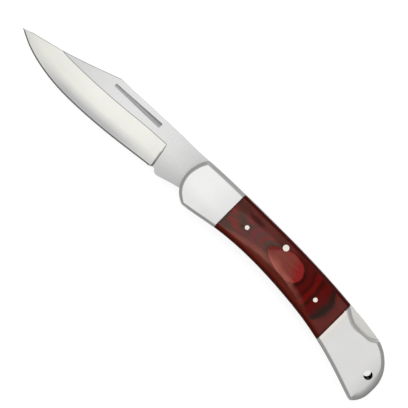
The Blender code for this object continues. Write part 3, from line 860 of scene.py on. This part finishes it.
# A pale sheen is painted along the belly, with painted shade under it.
belly_middle, belly_bow = 0.0365, 7.6
sheen_heights = (0.0010, 0.0044)
sheen_stops = ((0.0, 0.0), (0.32, 0.85), (0.55, 0.80), (1.0, 0.0))
sheen_front_xs = (0.0110, 0.0170)
sheen_rear_xs = (0.046, 0.060)
shade_heights = (0.0008, 0.0019)
shade_xs = (0.052, 0.062)
rim_split_ys = (0.0050, 0.0060)
rim_skin = 0.00004
fibre_relief = 0.000006
ring_stops = (
    (0.000, (0.100, 0.004, 0.003)), (0.246, (0.100, 0.004, 0.003)), (0.258, (0.030, 0.0012, 0.0004)),
    (0.280, (0.027, 0.0012, 0.0004)), (0.308, (0.060, 0.0022, 0.0006)), (0.352, (0.062, 0.0013, 0.0004)),
    (0.376, (0.040, 0.0010, 0.0003)), (0.394, (0.036, 0.0010, 0.0003)), (0.416, (0.092, 0.0018, 0.0012)),
    (0.458, (0.096, 0.0018, 0.0014)), (0.484, (0.034, 0.0022, 0.0004)), (0.508, (0.034, 0.0024, 0.0004)),
    (0.545, (0.072, 0.0022, 0.0012)), (0.600, (0.070, 0.0028, 0.0026)), (0.650, (0.045, 0.006, 0.0045)),
    (0.686, (0.020, 0.009, 0.0065)), (0.716, (0.018, 0.011, 0.008)), (0.748, (0.072, 0.015, 0.013)),
    (0.785, (0.088, 0.017, 0.014)), (1.000, (0.080, 0.015, 0.013)),
)
tall_squeeze = ((0.07, 0.60), (0.31, 0.49), (0.50, 0.57), (0.67, 0.59), (0.93, 1.00))
low_squeeze = ((0.07, 0.67), (0.32, 0.46), (0.53, 0.29), (0.64, 0.34), (0.92, 0.72))
front_arcs = (
    (0.05, (0.040, 0.022, 0.015)), (0.12, (0.058, 0.036, 0.028)), (0.19, (0.062, 0.038, 0.029)),
    (0.26, (0.120, 0.030, 0.025)), (0.34, (0.118, 0.030, 0.026)), (0.42, (0.084, 0.036, 0.030)),
    (0.48, (0.080, 0.036, 0.030)), (0.56, (0.118, 0.030, 0.032)), (0.66, (0.118, 0.029, 0.031)),
    (0.76, (0.064, 0.035, 0.028)), (0.84, (0.064, 0.035, 0.028)), (0.95, (0.132, 0.028, 0.023)),
)
heart_stops = (
    (0.00, (0.158, 0.031, 0.028)), (0.30, (0.160, 0.038, 0.029)), (0.62, (0.150, 0.030, 0.022)),
    (0.80, (0.185, 0.011, 0.011)), (1.00, (0.185, 0.009, 0.009)),
)
wedge_colour = (0.098, 0.011, 0.010)
halo_colour = (0.178, 0.022, 0.021)
# The heart's low part is painted pink as sheen.
heart_sheen_colour = (0.285, 0.080, 0.060)
olive_colour = (0.064, 0.035, 0.028)
brick_colour = (0.136, 0.028, 0.023)
wine_colour = (0.116, 0.026, 0.033)
blotch_colour = (0.034, 0.011, 0.007)
belly_sheen_colour = (0.190, 0.056, 0.041)
shade_colour = (0.078, 0.0115, 0.0055)
back_colour = (0.078, 0.0145, 0.0115)
crest_colour = (0.078, 0.0060, 0.0038)
crest_tint = (0.95, 0.50, 0.30)
back_rim_layers_and_shade = (
    (0.00, (0.052, 0.006, 0.004)), (0.05, (0.036, 0.003, 0.002)), (0.16, (0.030, 0.002, 0.001)),
    (0.30, (0.050, 0.003, 0.002)), (0.42, (0.024, 0.002, 0.001)), (0.62, (0.050, 0.003, 0.002)),
    (0.80, (0.022, 0.002, 0.001)), (1.00, (0.034, 0.003, 0.002)),
)
belly_rim_layers_and_shade = (
    (0.00, (0.080, 0.010, 0.005)), (0.07, (0.064, 0.006, 0.002)), (0.20, (0.036, 0.003, 0.001)),
    (0.30, (0.052, 0.003, 0.002)), (0.42, (0.024, 0.002, 0.001)), (0.62, (0.050, 0.003, 0.002)),
    (0.80, (0.022, 0.002, 0.001)), (1.00, (0.034, 0.003, 0.002)),
)


def bowed(tree, x, y, middle, bow):
    """How far a point is above a line that bows towards the handle's back, with its crest at a place along it."""
    away = maths(tree, "POWER", maths(tree, "SUBTRACT", x, middle), 2.0)
    return maths(tree, "ADD", y, maths(tree, "MULTIPLY", away, bow))


def ring_place(tree, x, y, broad, ragged):
    """How far a point is beside and above the heart, in half hearts, and how far out through the squeezed rings."""
    across = maths(tree, "DIVIDE", maths(tree, "SUBTRACT", x, heart_place.x), heart_half[0])
    up = maths(tree, "DIVIDE", maths(tree, "SUBTRACT", y, heart_place.y), heart_half[1])
    behind = ranged(tree, across, 0.0, 3.0)
    squeeze = mixed(
        tree, ranged(tree, up, -0.25, 0.25), ramp(tree, behind, low_squeeze), ramp(tree, behind, tall_squeeze)
    )
    squeeze = maths(tree, "MULTIPLY", squeeze, ranged(tree, across, -1.0, 0.0, 2.18, 1.5))
    squeezed = maths(tree, "MULTIPLY", up, squeeze)
    radius = maths(tree, "SQRT", maths(
        tree, "ADD", maths(tree, "MULTIPLY", across, across), maths(tree, "MULTIPLY", squeezed, squeezed)
    ))
    wander = maths(tree, "MULTIPLY", broad, ranged(tree, radius, 0.6, 2.2, 0.30, 0.62))
    wander = maths(tree, "ADD", wander, maths(tree, "MULTIPLY", ragged, 0.09))
    return across, up, maths(tree, "ADD", radius, wander)


def ring_figure(tree, x, y, radius):
    """The rings behind the heart, redder along the crest of the back."""
    rings = ramp(tree, maths(tree, "MULTIPLY", radius, 0.25), ring_stops)
    crest = maths(tree, "MULTIPLY", ranged(tree, y, *crest_ys), ranged(tree, x, *crest_xs, 1.0, 0.0))
    return mixed(tree, crest, rings, mixed(tree, 1.0, rings, crest_tint, "MULTIPLY"))


def heart_figure(tree, across, up, radius, broad, ragged):
    """The heart: a halo inside its front rim, a painted pink sheen low down, and a dark wedge at its upper front."""
    slant = maths(tree, "ADD", maths(tree, "MULTIPLY", up, heart_slant), maths(tree, "MULTIPLY", ragged, 0.7))
    heart = ramp(tree, ranged(tree, maths(tree, "ADD", across, slant), -1.1, 1.2), heart_stops)
    halo = maths(tree, "MULTIPLY", ranged(tree, radius, 0.60, 0.95, 0.0, 0.75), ranged(tree, up, -0.3, 0.2))
    halo = maths(tree, "MULTIPLY", halo, ranged(tree, across, 0.1, 0.6, 1.0, 0.0))
    heart = mixed(tree, halo, heart, halo_colour)
    sideways = maths(tree, "ABSOLUTE", maths(tree, "ADD", across, 0.25))
    lower = maths(tree, "ADD", up, maths(tree, "MULTIPLY", sideways, 0.30))
    lower = maths(tree, "ADD", lower, maths(tree, "MULTIPLY", broad, 0.8))
    heart = mixed(tree, ranged(tree, lower, -0.66, -0.14, 1.0, 0.0), heart, heart_sheen_colour)
    wedge = maths(tree, "SUBTRACT", up, maths(tree, "MULTIPLY", across, wedge_slant))
    wedge = maths(tree, "ADD", wedge, maths(tree, "MULTIPLY", ragged, 0.5))
    return mixed(tree, ranged(tree, wedge, 1.38, 1.62, 0.0, 0.85), heart, wedge_colour)


def front_figure(tree, across, radius, tints, seed):
    """The mottled front end: olive, brick and wine patches with dark spots, and pale arcs round the heart."""
    patches = noise(tree, (150.0, 210.0, 210.0), 1.5, seed + 6.0)
    mottle = mixed(tree, ranged(tree, patches, 0.42, 0.60, 0.0, 1.0, "SMOOTHSTEP"), olive_colour, brick_colour)
    mottle = mixed(tree, ranged(tree, tints, 0.50, 0.64, 0.0, 0.65, "SMOOTHSTEP"), mottle, wine_colour)
    spots = noise(tree, (170.0, 380.0, 380.0), 2.0, seed + 21.0)
    mottle = mixed(tree, ranged(tree, spots, 0.60, 0.68, 0.0, 0.85, "SMOOTHSTEP"), mottle, blotch_colour)
    near = ranged(tree, radius, 2.05, 2.45, 0.85, 0.0)
    arcs = maths(tree, "MULTIPLY", near, ranged(tree, across, -0.7, -0.4, 1.0, 0.0))
    return mixed(tree, arcs, mottle, ramp(tree, ranged(tree, radius, 0.9, 2.5), front_arcs))


def with_back(tree, figure, x, y, broad, ragged, seed):
    """A figure with the smoky dark band along the back over it, and the dark lens near the front joint."""
    height = maths(tree, "ADD", bowed(tree, x, y, band_middle, band_bow), maths(tree, "MULTIPLY", broad, 0.004))
    band = maths(tree, "MULTIPLY", ranged(tree, height, *band_heights), ranged(tree, x, *band_xs, 1.0, 0.0))
    backing = mixed(tree, ranged(tree, x, *backing_xs), back_colour, crest_colour)
    figure = mixed(tree, maths(tree, "MULTIPLY", band, 0.80), figure, backing)
    smoke = noise(tree, (95.0, 420.0, 420.0), 2.0, seed + 27.0)
    dark = maths(tree, "MULTIPLY", band, ranged(tree, smoke, 0.50, 0.62, 0.0, 0.45, "SMOOTHSTEP"))
    figure = mixed(tree, dark, figure, blotch_colour)
    lens = maths(tree, "MULTIPLY", ragged, 2.0)
    for place, middle, half in zip((x, y), dark_lens, dark_lens_half):
        away = maths(tree, "DIVIDE", maths(tree, "SUBTRACT", place, middle), half)
        lens = maths(tree, "ADD", lens, maths(tree, "POWER", away, 2.0))
    return mixed(tree, ranged(tree, lens, 0.3, 1.7, 0.75, 0.0), figure, lens_colour)


def with_belly(tree, figure, x, y, ragged, tints):
    """A figure with a pale sheen painted along the belly over it, and painted shade under the sheen."""
    height = maths(tree, "ADD", bowed(tree, x, y, belly_middle, belly_bow), maths(tree, "MULTIPLY", ragged, 0.0010))
    sheen = ramp(tree, ranged(tree, height, *sheen_heights), sheen_stops, "EASE")
    for strength in (
        ranged(tree, x, *sheen_rear_xs, 1.0, 0.05), ranged(tree, x, *sheen_front_xs, 0.15, 1.0),
        ranged(tree, tints, 0.40, 0.56, 1.0, 0.7),
    ):
        sheen = maths(tree, "MULTIPLY", sheen, strength)
    figure = mixed(tree, sheen, figure, belly_sheen_colour)
    low = ranged(tree, height, *shade_heights, 0.90, 0.0)
    return mixed(tree, maths(tree, "MULTIPLY", low, ranged(tree, x, *shade_xs, 1.0, 0.12)), figure, shade_colour)


def red_wood(name, seed, ends):
    """Red and black laminated wood with rings round a heart, a mottled front, a painted sheen, and painted shade on
    rims and joints.
    """
    made, tree, shader = new_material(name)
    x, y, z = (place_along(tree, axis) for axis in "XYZ")
    broad = maths(tree, "SUBTRACT", noise(tree, (80.0, 120.0, 120.0), 1.0, seed), 0.5)
    ragged = maths(tree, "SUBTRACT", noise(tree, (420.0, 800.0, 800.0), 3.0, seed + 3.0), 0.5)
    tints = noise(tree, (170.0, 190.0, 190.0), 1.5, seed + 13.0)
    across, up, radius = ring_place(tree, x, y, broad, ragged)
    front_end = ranged(tree, maths(tree, "ADD", across, maths(tree, "MULTIPLY", broad, 1.6)), -0.75, 0.25, 1.0, 0.0)
    figure = ring_figure(tree, x, y, radius)
    figure = mixed(tree, front_end, figure, front_figure(tree, across, radius, tints, seed))
    figure = with_back(tree, figure, x, y, broad, ragged, seed)
    figure = with_belly(tree, figure, x, y, ragged, tints)
    heart = heart_figure(tree, across, up, radius, broad, ragged)
    figure = mixed(tree, ranged(tree, radius, 0.95, 1.0, 1.0, 0.0), figure, heart)

    # The rims show the laminate's layers, painted darker than the face as shade.
    depth = maths(tree, "SUBTRACT", half_thickness, maths(tree, "ABSOLUTE", maths(tree, "SUBTRACT", z, knife_middle)))
    layers = maths(tree, "ADD", maths(tree, "DIVIDE", depth, wood_drop), maths(tree, "MULTIPLY", broad, 0.18))
    on_back = ranged(tree, y, *rim_split_ys)
    rim_layers_and_shade = mixed(tree, on_back, ramp(tree, layers, belly_rim_layers_and_shade), ramp(tree, layers, back_rim_layers_and_shade))
    figure = mixed(tree, ranged(tree, depth, 0.0, rim_skin), figure, rim_layers_and_shade)

    fibres = noise(tree, (130.0, 3600.0, 3600.0), 4.0, seed + 11.0)
    pores = ranged(tree, noise(tree, (420.0, 6800.0, 6800.0), 2.0, seed + 17.0), 0.64, 0.72)
    tone = maths(tree, "SUBTRACT", ranged(tree, fibres, 0.3, 0.7, 0.90, 1.09), maths(tree, "MULTIPLY", pores, 0.25))
    # Painted shade darkens both ends of the scale, where it meets the bolsters.
    for end, inward in zip(ends, (joint_shade_width, -joint_shade_width)):
        away = maths(tree, "DIVIDE", maths(tree, "SUBTRACT", x, end), inward)
        tone = maths(tree, "MULTIPLY", tone, ranged(tree, away, 0.0, 1.0, 0.45, 1.0))
    worn = noise(tree, (260.0, 300.0, 300.0), 3.0, seed + 23.0)
    relief = maths(tree, "SUBTRACT", fibres, pores)
    bump = add(tree, "ShaderNodeBump", {"Strength": 0.5, "Distance": fibre_relief, "Height": relief})
    shader.inputs["Specular IOR Level"].default_value = 0.04
    tree.links.new(mixed(tree, 1.0, figure, grey_of(tree, tone), "MULTIPLY"), shader.inputs["Base Color"])
    tree.links.new(ranged(tree, worn, 0.3, 0.75, 0.16, 0.30), shader.inputs["Roughness"])
    tree.links.new(bump.outputs[0], shader.inputs["Normal"])
    return made


for side_name, side in (("left", 1), ("right", -1)):
    name = "scale_" + side_name
    mesh, outer = cover_block(name, side)
    low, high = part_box(name)
    middle_y = (low.y + high.y) / 2
    ends = (low.x, high.x)

    def between_ends(p):
        return all(abs(p.x - end) > joint_hair for end in ends)

    for width, on_back in ((back_width, True), (belly_width, False)):
        edges = edges_at(mesh, outer, lambda p: between_ends(p) and (p.y > middle_y) == on_back)
        before = set(mesh.verts)
        soften(mesh, edges, width, wood_steps)
        for vert in set(mesh.verts) - before:
            depth = abs(vert.co.z - outer)
            if depth > level_hair / 2:
                vert.co.z = outer - side * wood_drop * depth / width
    for pin_name in ("lock_bar_pin", "scale_pin_front_" + side_name, "scale_pin_rear_" + side_name):
        pin_low, pin_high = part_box(pin_name)
        mesh = drilled(mesh, (pin_low + pin_high) / 2, (pin_high.x - pin_low.x) / 2 + pin_fit)
    wood = red_wood("red laminated wood " + side_name, left_seed if side > 0 else right_seed, ends)
    piece_of("wood_" + name, mesh, [wood], "handle", [name], 35.0)


# The rivets of the scales and the lock bar's pin are nickel silver rod, set in drilled holes, peened, and ground
# flush. The lock bar's pin is left with a shallow dish at its centre.

silver_colour = (0.86, 0.82, 0.74)
pin_sides = 40
pin_ease = 0.00012
dish_rim = 0.00045
dish_slope = 0.00040
dish_depth = 0.00020

silver = steel("nickel silver", silver_colour, 0.24, grain=(2600.0, 2600.0, 300.0), smudge=0.08)


def pin(node, ends, dished):
    """A round pin in the place of a CAD one, with its showing ends eased, and dished if it is the lock bar's."""
    low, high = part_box(node)
    radius = (high.x - low.x) / 2
    mesh = bmesh.new()
    bmesh.ops.create_cone(
        mesh, cap_ends=True, segments=pin_sides, radius1=radius, radius2=radius, depth=high.z - low.z
    )
    bmesh.ops.translate(mesh, verts=mesh.verts, vec=(low + high) / 2)
    for end in ends:
        level = high.z if end > 0 else low.z
        soften(mesh, edges_at(mesh, level, lambda p: True), pin_ease, 3)
        if dished:
            cap = [f for f in mesh.faces if f.normal.z * end > 0.99]
            bmesh.ops.inset_region(mesh, faces=cap, thickness=dish_rim, use_even_offset=True)
            bmesh.ops.inset_region(mesh, faces=cap, thickness=dish_slope, depth=-dish_depth, use_even_offset=True)
    piece_of("pin_" + node, mesh, [silver], "handle", [node])


pin("lock_bar_pin", (1, -1), True)
for side_name, side in (("left", 1), ("right", -1)):
    for place_name in ("front", "rear"):
        pin("scale_pin_" + place_name + "_" + side_name, (side,), False)
